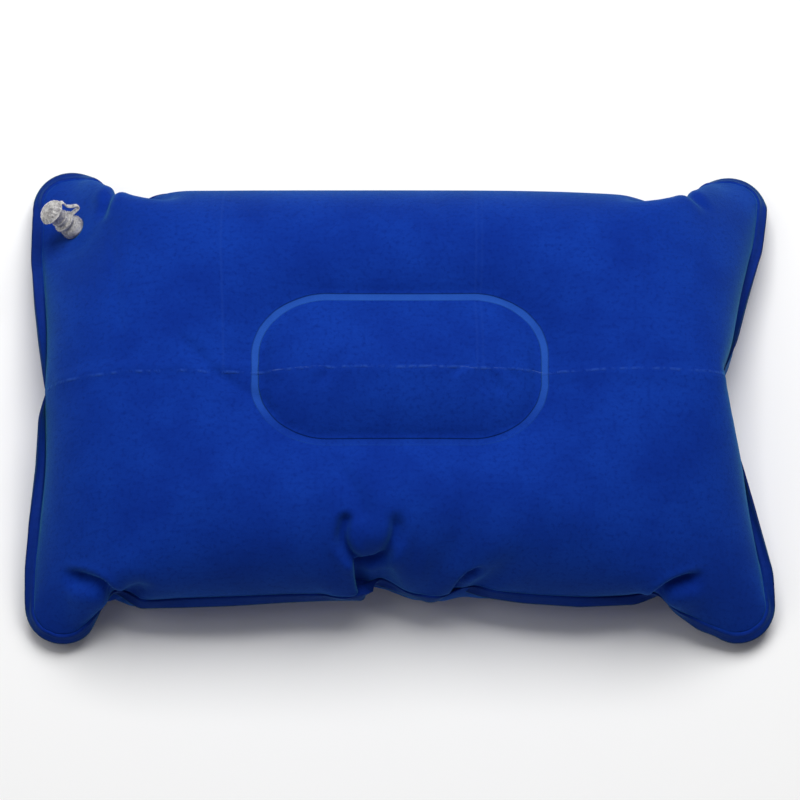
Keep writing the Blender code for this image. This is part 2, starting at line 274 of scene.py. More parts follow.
def links(flat):
    """Groups of springs that share no point, each with its rest length and its stiffness."""
    ny, nx = flat.shape[:2]
    made = []

    def add(a, b, stretch, squeeze):
        rest = np.linalg.norm(flat[b] - flat[a], axis=-1)[None, ..., None]
        made.append(((slice(None), *a), (slice(None), *b), rest, stretch, squeeze))

    everything = slice(None)
    for first in (0, 1):
        a, b = every(nx, 1, first, 2)
        add((everything, a), (everything, b), STRETCH, COMPRESS)
        a, b = every(ny, 1, first, 2)
        add((a, everything), (b, everything), STRETCH, COMPRESS)
        add((a, slice(0, nx - 1)), (b, slice(1, nx)), SHEAR, SHEAR * COMPRESS)
        add((a, slice(1, nx)), (b, slice(0, nx - 1)), SHEAR, SHEAR * COMPRESS)
    for a, b in ((0, SEAM), (nx - 1, nx - 1 - SEAM)):
        add((everything, slice(a, a + 1)), (everything, slice(b, b + 1)), STRETCH, STRETCH)
    for a, b in ((0, SEAM), (ny - 1, ny - 1 - SEAM)):
        add((slice(a, a + 1), everything), (slice(b, b + 1), everything), STRETCH, STRETCH)
    for reach, stiffness in ((2, BEND_NEAR), (4, BEND_FAR)):
        for first in range(2 * reach):
            a, b = every(nx - SEAM, reach, SEAM + first, 2 * reach)
            add((everything, a), (everything, b), stiffness, stiffness)
            a, b = every(ny - SEAM, reach, SEAM + first, 2 * reach)
            add((a, everything), (b, everything), stiffness, stiffness)
    return made


def spread(grid, axis):
    return np.gradient(grid, axis=axis)


def side_limit(flat):
    """How far out the right side may swell on each side of its pinch."""
    off = flat[..., 1] - PINCH_Y
    return PINCH_X + np.where(off > 0, PINCH_FAR * off, -PINCH_NEAR * off + off**2)


def inflate(flat, steps):
    """Blows up the two flat sheets, front first, and returns their points."""
    ny, nx = flat.shape[:2]
    rows, columns, corners = rim_order((ny, nx))
    goal = rim_goal(flat, rows, columns, corners)
    tied = np.exp(-((ring_distance(flat) / RING_SOFT) ** 2))
    welded = np.zeros((ny, nx), bool)
    inner = slice(SEAM + 1, -SEAM - 1)
    welded[:] = True
    welded[inner, inner] = False
    groups = links(flat)
    limit = side_limit(flat)
    side = np.array([1.0, -1.0])[:, None, None, None]
    points = np.zeros((2, ny, nx, 3))
    points[..., :2] = flat
    points[..., 2] = START_HEIGHT
    bulge_x = np.clip(1 - np.abs(2 * flat[..., 0] / FLAT_X), 0, 1)
    bulge_y = np.clip(1 - np.abs(2 * flat[..., 1] / FLAT_Y), 0, 1)
    points[..., 2] += START_BULGE * side[..., 0] * np.sqrt(bulge_x * bulge_y)
    start = points[0, rows, columns].copy()
    speed = np.zeros_like(points)
    for step in range(steps):
        ramp = min(1.0, step / (FILL * steps))
        taut = min(1.0, max(0.0, step / steps - TAUT_START) / TAUT_TIME)
        pressure = BLOW + (PRESSURE - BLOW) * taut
        push = np.cross(spread(points, 2), spread(points, 1)) * side
        before = points.copy()
        points += speed * DAMPING + push * pressure
        for a, b, rest, stretch, squeeze in groups:
            gap = points[b] - points[a]
            now = np.sqrt((gap * gap).sum(axis=-1, keepdims=True))
            share = (now - rest) / now
            gap *= share * np.where(share > 0, stretch, squeeze) * 0.5
            points[a] += gap
            points[b] -= gap
        middle = points.mean(axis=0)
        points[:, welded] = middle[welded]
        aim = start * (1 - ramp) + goal * ramp
        rim = points[0, rows, columns]
        points[:, rows, columns] = rim + (aim - rim) * RIM_HOLD
        for layer, height in ((0, RING_FRONT), (1, RING_BACK)):
            level = START_HEIGHT * (1 - ramp) + height * ramp
            points[layer, ..., 2] += (level - points[layer, ..., 2]) * tied * HOLD
        points[..., :2] += (flat * RING_PLAN - points[..., :2]) * (tied * HOLD)[None, ..., None]
        if step > steps // 2:
            away = points[0] - SEAT
            height = away @ VALVE_UP
            out = np.sqrt(np.maximum((away * away).sum(axis=-1) - height**2, 0))
            hold = np.clip((SEAT_R + SEAT_EDGE - out) / SEAT_EDGE, 0, 1) * (np.abs(height) < SEAT_REACH)
            points[0] -= (height * hold * HOLD)[..., None] * VALVE_UP
        np.maximum(points[..., 2], GROUND, out=points[..., 2])
        np.minimum(points[..., 0], limit + LIMIT_SLACK * (1 - ramp), out=points[..., 0])
        speed = points - before
    return points


# ---------------------------------------------------------------- folds, in millimetres on the flat sheet

# depth is negative for a ridge; width is that of one side; ease is the share of the path that fades at an
# end; steep is 1 where the side left of the path is the steep one, and -1 where the right one is
FRONT_FOLDS = (
    # the deep U where the sheet buckles over the near edge, and its tail down to the step in the rim
    dict(
        depth=5.4, width=3.2, ease=0.16,
        path=((-28, -86), (-31, -94), (-32, -103), (-28, -112), (-21, -119)),
    ),
    dict(
        depth=4.8, width=3.6, ease=0.2,
        path=((-25, -116), (-19, -120), (-11, -119), (-5, -109), (-1, -97), (-3, -85)),
    ),
    dict(depth=6.0, width=3.4, ease=0.16, path=((-22, -116), (-22, -129), (-21, -148))),
    dict(depth=-0.8, width=7.0, ease=0.4, path=((-17, -84), (-16, -96), (-15, -109))),
    # long soft fold from the oval down into the U
    dict(depth=2.4, width=6.0, ease=0.3, path=((-40, -48), (-31, -66), (-22, -82), (-17, -102))),
    # folds above the kink in the near edge
    dict(depth=1.4, width=5.0, ease=0.35, path=((37, -60), (36, -80), (35, -100), (33, -125))),
    dict(depth=4.5, width=3.6, ease=0.25, steep=1, path=((35, -148), (37, -134), (42, -125), (51, -119))),
    # creases from the notches beside the ears, which the body hangs over
    dict(
        depth=6.5, width=6.0, ease=0.25, steep=-1,
        path=((-163, -146), (-167, -127), (-174, -117), (-190, -110), (-198, -109)),
    ),
    dict(depth=6.5, width=6.0, ease=0.25, steep=1, path=((148, -146), (153, -128), (162, -120), (177, -113))),
    dict(depth=3.0, width=3.6, ease=0.3, path=((-163, 148), (-168, 132), (-171, 116), (-176, 96))),
    dict(depth=2.4, width=3.6, ease=0.3, path=((162, 148), (167, 132), (172, 116), (182, 102))),
    # folds left of the oval and across its left end
    dict(
        depth=2.0, width=3.6, ease=0.3,
        path=((-131, 24), (-118, 12), (-109, 1), (-95, -10), (-80, -19), (-71, -31)),
    ),
    dict(depth=1.3, width=3.2, ease=0.4, path=((-31, 10), (-39, -5), (-48, -15))),
    dict(depth=-1.0, width=9.0, ease=0.4, path=((-78, -49), (-106, -72), (-130, -79))),
    dict(depth=0.8, width=6.0, ease=0.4, path=((19, 133), (23, 94), (26, 80))),
    dict(depth=-0.8, width=10.0, ease=0.4, path=((70, -60), (95, -85), (120, -96))),
    # packing creases: one along the middle, which stands up a little, and upright ones
    dict(depth=-0.8, width=4.0, ease=0.1, path=((-208, 1), (-153, 1), (-112, 0), (-86, 0), (-55, -4))),
    dict(depth=-0.6, width=4.0, ease=0.1, path=((-60, -4), (0, -4), (41, -4), (84, -1))),
    dict(depth=-0.6, width=4.0, ease=0.1, path=((80, -1), (99, -4), (135, -5), (170, -4), (200, -2))),
    dict(depth=-0.25, width=2.4, ease=0.2, path=((-100, 129), (-99, 64), (-100, 2))),
    dict(depth=-0.22, width=2.2, ease=0.2, path=((45, 130), (44, 64), (44, -10))),
    dict(depth=0.35, width=2.5, ease=0.3, path=((-171, 103), (-163, 70), (-158, 31), (-154, 3))),
    dict(depth=0.35, width=2.5, ease=0.3, path=((142, 95), (140, 64), (142, 21))),
    # the sheet slopes off a little on both sides of the middle crease
    dict(depth=-1.5, width=22.0, ease=0.25, path=((-110, 0), (-60, -3), (0, -4), (60, -4), (115, -2))),
    # puckers where two creases meet
    dict(depth=1.7, width=2.0, ease=0.35, path=((48, -1), (53, -10), (59, -20))),
    dict(depth=1.3, width=1.8, ease=0.35, path=((41, -1), (45, -9), (49, -20))),
    dict(depth=1.2, width=1.8, ease=0.35, path=((50, 3), (58, -3), (68, -12))),
    dict(depth=1.2, width=1.8, ease=0.35, path=((38, 2), (33, -4), (27, -8))),
    dict(depth=1.0, width=1.8, ease=0.35, path=((44, 3), (40, 10), (38, 18))),
)
BACK_FOLDS = (
    dict(depth=0.9, width=5.0, ease=0.1, path=((-221, 6), (-120, 2), (0, -3), (120, -2), (221, 9))),
    dict(depth=0.4, width=2.5, ease=0.2, path=((-102, 130), (-101, 40), (-102, -130))),
    dict(depth=0.4, width=2.5, ease=0.2, path=((44, 130), (43, 40), (44, -130))),
    dict(depth=4.0, width=5.0, ease=0.3, path=((-160, -142), (-166, -126), (-180, -112))),
    dict(depth=4.0, width=5.0, ease=0.3, path=((148, -142), (152, -126), (166, -112))),
    dict(depth=2.5, width=6.0, ease=0.3, path=((-160, 142), (-168, 122), (-182, 104))),
    dict(depth=2.5, width=6.0, ease=0.3, path=((160, 142), (168, 122), (182, 104))),
    dict(depth=6.5, width=9.0, ease=0.3, steep=1, path=((-23, -172), (-21, -140), (-14, -115), (-4, -95))),
    dict(depth=1.6, width=7.0, ease=0.35, path=((34, -143), (40, -118), (60, -96))),
    dict(depth=1.4, width=7.0, ease=0.35, path=((90, 143), (84, 116), (66, 92))),
    dict(depth=1.4, width=7.0, ease=0.35, path=((-70, 143), (-64, 112), (-60, 90))),
)
FOLD_STEPS = 6  # points put between two points of a fold's path
STEEP = 0.4  # width of a fold's steep side, as a share of the other's
FOLD_EDGE = 0.006  # distance from the cut edge over which folds fade out
LIP = 0.12  # height of the soft swelling beside a fold, as a share of its depth
FINE = 3  # how many times finer the shown sheet is than the blown-up one


def curve_weights(t):
    """Catmull-Rom weights of the four points round each place."""
    return np.stack([
        (-t + 2 * t**2 - t**3) / 2,
        (2 - 5 * t**2 + 3 * t**3) / 2,
        (t + 4 * t**2 - 3 * t**3) / 2,
        (t**3 - t**2) / 2,
    ])


def finer(values, times, axis):
    """Smooth points between the points of one axis."""
    values = np.moveaxis(values, axis, 0)
    ends = [2 * values[:1] - values[1:2], values, 2 * values[-1:] - values[-2:-1]]
    padded = np.concatenate(ends)
    place = np.linspace(0, len(values) - 1, (len(values) - 1) * times + 1)
    first = np.minimum(place.astype(int), len(values) - 2)
    weights = curve_weights(place - first)
    shape = (-1,) + (1,) * (values.ndim - 1)
    made = sum(weights[k].reshape(shape) * padded[first + k] for k in range(4))
    return np.moveaxis(made, 0, axis)


def refined(grid):
    return finer(finer(grid, FINE, 0), FINE, 1)


def away_from(flat, path):
    """Distance from a smooth path, share of it passed at the nearest place, and 1 on its left, -1 right."""
    line = finer(np.array(path, float) / 1000, FOLD_STEPS, 0)
    steps = np.linalg.norm(np.diff(line, axis=0), axis=1)
    run = np.concatenate([[0.0], np.cumsum(steps)])
    best = np.full(flat.shape[:2], np.inf)
    along = np.zeros(flat.shape[:2])
    left = np.zeros(flat.shape[:2])
    for k, (a, b) in enumerate(zip(line, line[1:])):
        share = np.clip(((flat - a) @ (b - a)) / steps[k] ** 2, 0, 1)
        turn = (flat - a) @ np.array([a[1] - b[1], b[0] - a[0]])
        gap = np.linalg.norm(flat - a - share[..., None] * (b - a), axis=-1)
        nearer = gap < best
        best[nearer] = gap[nearer]
        along[nearer] = ((run[k] + share * steps[k]) / run[-1])[nearer]
        left[nearer] = np.sign(turn)[nearer]
    return best, along, left


def smooth_step(t):
    t = np.clip(t, 0, 1)
    return t * t * (3 - 2 * t)


def normals_of(points, side):
    normal = np.cross(spread(points, 1), spread(points, 0)) * side
    return normal / np.linalg.norm(normal, axis=-1, keepdims=True)


def folded(points, flat, side, folds):
    """The sheet with its folds pressed in along its own normals."""
    normal = normals_of(points, side)
    push = np.zeros(flat.shape[:2])
    for fold in folds:
        gap, along, left = away_from(flat, fold["path"])
        width = fold["width"] / 1000 * np.where(left * fold.get("steep", 0) > 0, STEEP, 1.0)
        fade = smooth_step(along / fold["ease"]) * smooth_step((1 - along) / fold["ease"])
        valley = np.exp(-((gap / width) ** 2))
        lips = np.exp(-(((gap - 2.1 * width) / width) ** 2))
        push -= fold["depth"] / 1000 * (valley - LIP * lips) * fade
    push *= smooth_step(edge_distance(flat) / FOLD_EDGE)
    made = points + push[..., None] * normal
    np.maximum(made[..., 2], GROUND, out=made[..., 2])
    return made


def edge_distance(flat):
    """Distance in from the cut edge of the flat sheet."""
    return -box_distance(flat, FLAT_X / 2, FLAT_Y / 2, CORNER_R)


# ---------------------------------------------------------------- meshes


def seat_distance(where):
    """Distance of each point from the valve's axis, and its height over the seat."""
    away = where - SEAT
    lift = away @ VALVE_UP
    return np.sqrt(np.maximum((away * away).sum(axis=1) - lift**2, 0)), lift


def round_hole(where, hole):
    """Points inside the valve's hole are moved out to its round edge."""
    out, lift = seat_distance(where)
    where = where.copy()
    foot = SEAT + lift[hole, None] * VALVE_UP
    where[hole] = foot + (where[hole] - foot) * (HOLE_R / np.maximum(out[hole], 1e-6))[:, None]
    return where


def sheet_object(name, points, flat, upward, look, hole=None):
    """One sheet as a grid, with the flat sheet's own metres as its UV map and the valve's hole left out."""
    ny, nx = flat.shape[:2]
    number = np.arange(ny * nx).reshape(ny, nx)
    faces = np.stack([number[:-1, :-1], number[:-1, 1:], number[1:, 1:], number[1:, :-1]], axis=-1)
    faces = faces.reshape(-1, 4)
    if not upward:
        faces = faces[:, ::-1]
    where = points.reshape(-1, 3)
    if hole is not None:
        faces = faces[~hole[faces].all(axis=1)]
        where = round_hole(where, hole)
    mesh = bpy.data.meshes.new(name)
    mesh.from_pydata(where.tolist(), [], faces.tolist())
    layer = mesh.uv_layers.new(name="flat")
    corner = np.empty(len(mesh.loops), np.int32)
    mesh.loops.foreach_get("vertex_index", corner)
    layer.data.foreach_set("uv", flat.reshape(-1, 2)[corner].astype(np.float32).ravel())
    mesh.materials.append(look)
    mesh.shade_smooth()
    made = bpy.data.objects.new(name, mesh)
    bpy.context.scene.collection.objects.link(made)
    loose = bmesh.new()
    loose.from_mesh(mesh)
    bmesh.ops.delete(loose, geom=[v for v in loose.verts if not v.link_faces], context="VERTS")
    loose.to_mesh(mesh)
    loose.free()
    thick = made.modifiers.new("thickness", "SOLIDIFY")
    thick.thickness = SHEET
    thick.offset = -1.0
    return made


def settle(obj):
    """Gives the object its final mesh, with its modifiers applied."""
    graph = bpy.context.evaluated_depsgraph_get()
    shown = obj.evaluated_get(graph)
    mesh = bpy.data.meshes.new_from_object(shown, preserve_all_data_layers=True, depsgraph=graph)
    obj.modifiers.clear()
    obj.data = mesh
    return obj


# ---------------------------------------------------------------- inner sleeve

SLEEVE = 0.0004
SLEEVE_AROUND = 280
SLEEVE_ROWS = 16
SLEEVE_LIP = 0.0022  # how far the welded ends turn in from the oval's centre line
SLEEVE_OUT = 0.0014
SLEEVE_UNDER = 0.0016  # from the outer face of a sheet to the sleeve's end


def oval(extra):
    """Evenly spaced points of the oval weld in the flat sheet, extra outside its centre line."""
    corner = np.array([RING_X * RING_SQUEEZE - RING_R, RING_Y - RING_R])
    loop = []
    for quarter, signs in enumerate(((1, 1), (-1, 1), (-1, -1), (1, -1))):
        turn = (quarter + np.linspace(0, 1, 40)) * math.pi / 2
        arc = np.stack([np.cos(turn), np.sin(turn)], axis=1) * (RING_R + extra)
        loop.append(corner * np.array(signs) + arc)
    loop = np.concatenate(loop) / (RING_SQUEEZE, 1)
    run = lengths(loop)
    closed = np.vstack([loop, loop[:1]])
    place = np.linspace(0, run[-1], SLEEVE_AROUND, endpoint=False)
    return np.stack([np.interp(place, run, closed[:, k]) for k in (0, 1)], axis=1), run[-1]


def on_sheet(points, flat, where):
    """Places of flat-sheet points on the blown-up sheet."""
    ny, nx = flat.shape[:2]
    x = np.interp(where[:, 0], flat[ny // 2, :, 0], np.arange(nx))
    y = np.interp(where[:, 1], flat[:, nx // 2, 1], np.arange(ny))
    i, j = np.floor(y).astype(int), np.floor(x).astype(int)
    fy, fx = (y - i)[:, None], (x - j)[:, None]
    near = points[i, j] * (1 - fx) + points[i, j + 1] * fx
    far = points[i + 1, j] * (1 - fx) + points[i + 1, j + 1] * fx
    return near * (1 - fy) + far * fy


def sleeve_object(name, front, back, flat, look):
    """Film wall that joins both sheets round the oval: drawn in at its waist and puckered along the welds."""
    lip, _ = oval(-SLEEVE_LIP)
    wall, around = oval(SLEEVE_OUT)
    drop = np.array([0, 0, SLEEVE_UNDER])
    top = on_sheet(front, flat, wall) - drop
    bottom = on_sheet(back, flat, wall) + drop
    part = np.linspace(0, 1, SLEEVE_ROWS)
    turn = np.linspace(0, 2 * math.pi, SLEEVE_AROUND, endpoint=False)
    rows = [on_sheet(front, flat, lip) - drop]
    for t in part:
        row = top * (1 - t) + bottom * t
        waist = math.sin(math.pi * t)
        pucker = np.sin(31 * turn + 2.0 * np.sin(3 * turn)) + 0.6 * np.sin(53 * turn + 4 * t)
        shrink = 1 - 0.04 * waist + 0.006 * pucker * min(1.0, 3 * waist) * (1 - 0.6 * waist)
        row[:, :2] *= shrink[:, None]
        rows.append(row)
    rows.append(on_sheet(back, flat, lip) + drop)
    rows = np.array(rows)
    count, n = rows.shape[:2]
    number = np.arange(count * n).reshape(count, n)
    after = np.roll(number, -1, axis=1)
    faces = np.stack([number[:-1], number[1:], after[1:], after[:-1]], axis=-1).reshape(-1, 4)
    mesh = bpy.data.meshes.new(name)
    mesh.from_pydata(rows.reshape(-1, 3).tolist(), [], faces.tolist())
    mesh.materials.append(look)
    mesh.shade_smooth()
    made = bpy.data.objects.new(name, mesh)
    bpy.context.scene.collection.objects.link(made)
    thick = made.modifiers.new("thickness", "SOLIDIFY")
    thick.thickness = SLEEVE
    thick.offset = 0.0
    tall = float(np.linalg.norm(np.diff(rows, axis=0), axis=2).sum(axis=0).mean())
    return settle(made), (around, tall)


# ---------------------------------------------------------------- valve, in millimetres

# the valve's own X points to its strap and its Z along the stem
TURNS = 120
PROFILE_STEPS = 3
MOUTH = 19.0
HINGE_OUT = 8.7
BORE = 3.4
NOSE_PLAY = 0.35
WELD_DISC = ((11.3, -1.1), (11.5, -1.35), (11.2, -1.6), (7.2, -1.7), (6.7, -1.4), (7.0, -1.05), (9.2, -1.0))
DOME = (
    (6.5, -0.95), (6.6, -0.2), (6.95, 0.3), (7.25, 1.1), (7.2, 2.5), (6.85, 4.2),
    (6.25, 5.8), (5.75, 6.7), (5.6, 7.5), (5.4, 7.5), (5.4, 6.5), (5.7, 5.3),
    (6.15, 3.7), (6.45, 2.3), (6.5, 1.2), (6.2, 0.5), (5.95, -0.2), (5.85, -0.95),
)
TUBE = (
    (5.4, 19.0), (5.95, 18.75), (6.1, 18.2), (5.9, 17.6), (5.3, 17.2), (5.1, 16.6), (5.1, 13.5),
    (5.5, 13.2), (5.5, 12.5), (5.1, 12.2), (5.1, 10.2), (5.5, 9.8), (6.5, 9.6), (6.8, 9.2),
    (6.8, 8.4), (6.5, 8.0), (5.4, 7.9), (5.2, 7.6), (5.2, 5.1), (5.0, 4.8), (3.6, 4.8),
    (3.4, 5.1), (3.4, 12.0), (3.4, 18.5), (3.7, 18.95),
)
HEAD = (
    (0.0, 24.7), (2.0, 24.6), (3.9, 24.1), (5.4, 23.2), (6.6, 22.0), (7.2, 20.9), (7.3, 20.3), (7.7, 20.1),
    (7.9, 19.75), (7.7, 19.4), (7.0, 19.3), (4.2, 19.3), (3.3, 19.2),
)
FLAP = ((0.0, 4.4), (2.6, 4.35), (3.5, 4.45), (4.1, 4.4), (4.35, 4.2), (4.1, 3.95), (2.6, 3.95), (0.0, 3.9))
STRAP = (
    (6.2, 8.8), (8.6, 8.65), (10.8, 8.3), (12.1, 9.0), (11.8, 10.6), (10.2, 12.2), (8.9, 13.9), (8.3, 15.8),
    (8.4, 17.6), (8.5, 18.9), (7.9, 19.7), (6.7, 19.8),
)
STRAP_HALF = 1.6
STRAP_THICK = 0.55
STRAP_SIDES = 12


def valve_place():
    """Turns the valve's millimetres into the row frame."""
    up = Vector(VALVE_UP).normalized()
    across = Vector(HINGE["axis"]).normalized()
    basis = Matrix((across.cross(up), across, up)).transposed().to_4x4()
    return Matrix.Translation(Vector(SEAT)) @ basis @ Matrix.Scale(0.001, 4)


def valve_object(name, grid, look, around=True):
    """Piece from rows of points, each row closed when it goes around."""
    count, n = grid.shape[:2]
    number = np.arange(count * n).reshape(count, n)
    after = np.roll(number, -1, axis=1)
    faces = np.stack([number[:-1], after[:-1], after[1:], number[1:]], axis=-1).reshape(-1, 4)
    made = bmesh.new()
    points = [made.verts.new(p) for p in grid.reshape(-1, 3)]
    for face in faces:
        made.faces.new([points[k] for k in face])
    if not around:
        made.faces.new([points[k] for k in number[0]])
        made.faces.new([points[k] for k in number[-1]])
    bmesh.ops.remove_doubles(made, verts=made.verts, dist=0.001)
    bmesh.ops.recalc_face_normals(made, faces=made.faces)
    mesh = bpy.data.meshes.new(name)
    made.to_mesh(mesh)
    made.free()
    mesh.transform(valve_place())
    mesh.materials.append(look)
    mesh.shade_smooth()
    piece = bpy.data.objects.new(name, mesh)
    bpy.context.scene.collection.objects.link(piece)
    return piece


def turned(name, profile, look, closed=True, ribs=None):
    """A profile of radius and height turned round the valve's axis; ribs gives what the radius gains."""
    line = np.array([*profile, profile[0]] if closed else profile, float)
    line = finer(line, PROFILE_STEPS, 0)
    turn = np.linspace(0, 2 * math.pi, TURNS, endpoint=False)
    radius = np.repeat(line[:, :1], TURNS, axis=1)
    if ribs is not None:
        radius = radius + ribs(line[:, :1], line[:, 1:], turn[None, :])
    radius = np.maximum(radius, 0)
    height = np.repeat(line[:, 1:], TURNS, axis=1)
    return valve_object(name, np.stack([radius * np.cos(turn), radius * np.sin(turn), height], axis=-1), look)


def bell(value, centre, half):
    return np.exp(-(((value - centre) / half) ** 2))


def dome_ribs(radius, height, turn):
    """Slight dents, as in a soft moulding that has been pressed."""
    dents = 0.14 * np.sin(3 * turn + 0.8) + 0.10 * np.sin(5 * turn + 2.0 * height)
    return dents * bell(height, 3.6, 2.2)


def tube_ribs(radius, height, turn):
    knurl = 0.13 * np.cos(26 * turn) * bell(height, 8.8, 0.7) * (radius > 6)
    flats = 0.09 * np.cos(6 * turn + 0.4) * bell(height, 14.8, 2.0) * (radius > 4.5)
    return knurl + flats


def head_ribs(radius, height, turn):
    grip = 0.28 * np.cos(20 * turn) * bell(height, 21.7, 1.3) * (radius > 4.5)
    brim = 0.08 * np.cos(9 * turn) * bell(height, 19.8, 0.4) * (radius > 6)
    return grip + brim


def flap_ribs(radius, height, turn):
    """Hinge lug on the side away from the strap."""
    return 0.35 * np.exp(-(((turn - math.pi) / 0.35) ** 2)) * (radius > 3.8)


def nose():
    """The plug's nose, slim enough towards its tip to swing out of the bore."""
    depths = (0.9, 1.8, 2.7, 3.6, 4.5, 5.2)
    line = [(math.sqrt((HINGE_OUT + BORE) ** 2 - d**2) - HINGE_OUT - NOSE_PLAY, MOUTH - d) for d in depths]
    return (*line, (1.2, MOUTH - 5.8), (0.0, MOUTH - 6.0))


def strap_object(name, look):
    """Bowed band from the collar to the plug, wider at its two roots."""
    line = finer(np.array(STRAP, float), 5, 0)
    way = np.gradient(line, axis=0)
    way /= np.linalg.norm(way, axis=1, keepdims=True)
    normal = np.stack([way[:, 1], -way[:, 0]], axis=1)
    place = np.linspace(-1, 1, len(line))
    half = STRAP_HALF + 0.5 * place**6
    turn = np.linspace(0, 2 * math.pi, STRAP_SIDES, endpoint=False)
    side = np.sign(np.cos(turn)) * np.abs(np.cos(turn)) ** 0.5
    lift = np.sign(np.sin(turn)) * np.abs(np.sin(turn)) ** 0.7
    grid = np.zeros((len(line), STRAP_SIDES, 3))
    grid[..., 0] = line[:, :1] + normal[:, :1] * lift * STRAP_THICK
    grid[..., 1] = half[:, None] * side
    grid[..., 2] = line[:, 1:] + normal[:, 1:] * lift * STRAP_THICK
    return valve_object(name, grid, look, around=False)


# ---------------------------------------------------------------- materials


class Net:
    """Short ways to add shader nodes."""

    def __init__(self, name):
        self.material = bpy.data.materials.new(name)
        self.material.use_nodes = True
        self.tree = self.material.node_tree
        self.shader = self.tree.nodes["Principled BSDF"]

    def node(self, kind, **inputs):
        made = self.tree.nodes.new(kind)
        for key, value in inputs.items():
            self.put(made, key, value)
        return made

    def put(self, node, key, value):
        socket = node.inputs[int(key[1:]) if key[0] == "i" and key[1:].isdigit() else key]
        if isinstance(value, bpy.types.NodeSocket):
            self.tree.links.new(value, socket)
        else:
            socket.default_value = value

    def math(self, operation, *values, clamp=False):
        made = self.tree.nodes.new("ShaderNodeMath")
        made.operation = operation
        made.use_clamp = clamp
        for k, value in enumerate(values):
            self.put(made, f"i{k}", value)
        return made.outputs[0]

    def vector(self, operation, *values):
        made = self.tree.nodes.new("ShaderNodeVectorMath")
        made.operation = operation
        for k, value in enumerate(values):
            if operation == "SCALE" and k == 1:
                self.put(made, "Scale", value)
            else:
                self.put(made, f"i{k}", value)
        return made.outputs["Value" if operation == "LENGTH" else "Vector"]

    def split(self, vector):
        return self.node("ShaderNodeSeparateXYZ", Vector=vector).outputs

    def join(self, x, y, z=0.0):
        return self.node("ShaderNodeCombineXYZ", X=x, Y=y, Z=z).outputs[0]

    def step(self, value, low, high):
        """0 at low and 1 at high, eased."""
        made = self.node("ShaderNodeMapRange", Value=value)
        made.interpolation_type = "SMOOTHSTEP"
        made.inputs["From Min"].default_value = low
        made.inputs["From Max"].default_value = high
        return made.outputs[0]

    def noise(self, vector, scale, detail=3.0, roughness=0.5):
        made = self.node("ShaderNodeTexNoise", Vector=vector, Scale=scale, Detail=detail, Roughness=roughness)
        return made.outputs["Fac"]

    def mix(self, share, a, b):
        made = self.tree.nodes.new("ShaderNodeMix")
        made.data_type = "RGBA"
        self.put(made, "i0", share)
        self.put(made, "i6", a)
        self.put(made, "i7", b)
        return made.outputs[2]

    def bump(self, height, strength, distance, normal=None):
        made = self.node("ShaderNodeBump", Height=height, Strength=strength, Distance=distance)
        if normal is not None:
            self.put(made, "Normal", normal)
        return made.outputs[0]


def box_gap(net, plane, half_x, half_y, radius):
    """Signed distance from the outline of a round-cornered box."""
    size = net.vector("SUBTRACT", net.vector("ABSOLUTE", plane), (half_x - radius, half_y - radius, 0.0))
    x, y, _ = net.split(size)
    outside = net.vector("LENGTH", net.vector("MAXIMUM", size, (0.0, 0.0, 0.0)))
    inside = net.math("MINIMUM", net.math("MAXIMUM", x, y), 0.0)
    return net.math("SUBTRACT", net.math("ADD", outside, inside), radius)


def line_mark(net, value, centre, half, soft):
    """1 within half of centre, eased to 0 over soft."""
    off = net.math("ABSOLUTE", net.math("SUBTRACT", value, centre))
    return net.math("SUBTRACT", 1.0, net.step(off, half, half + soft))


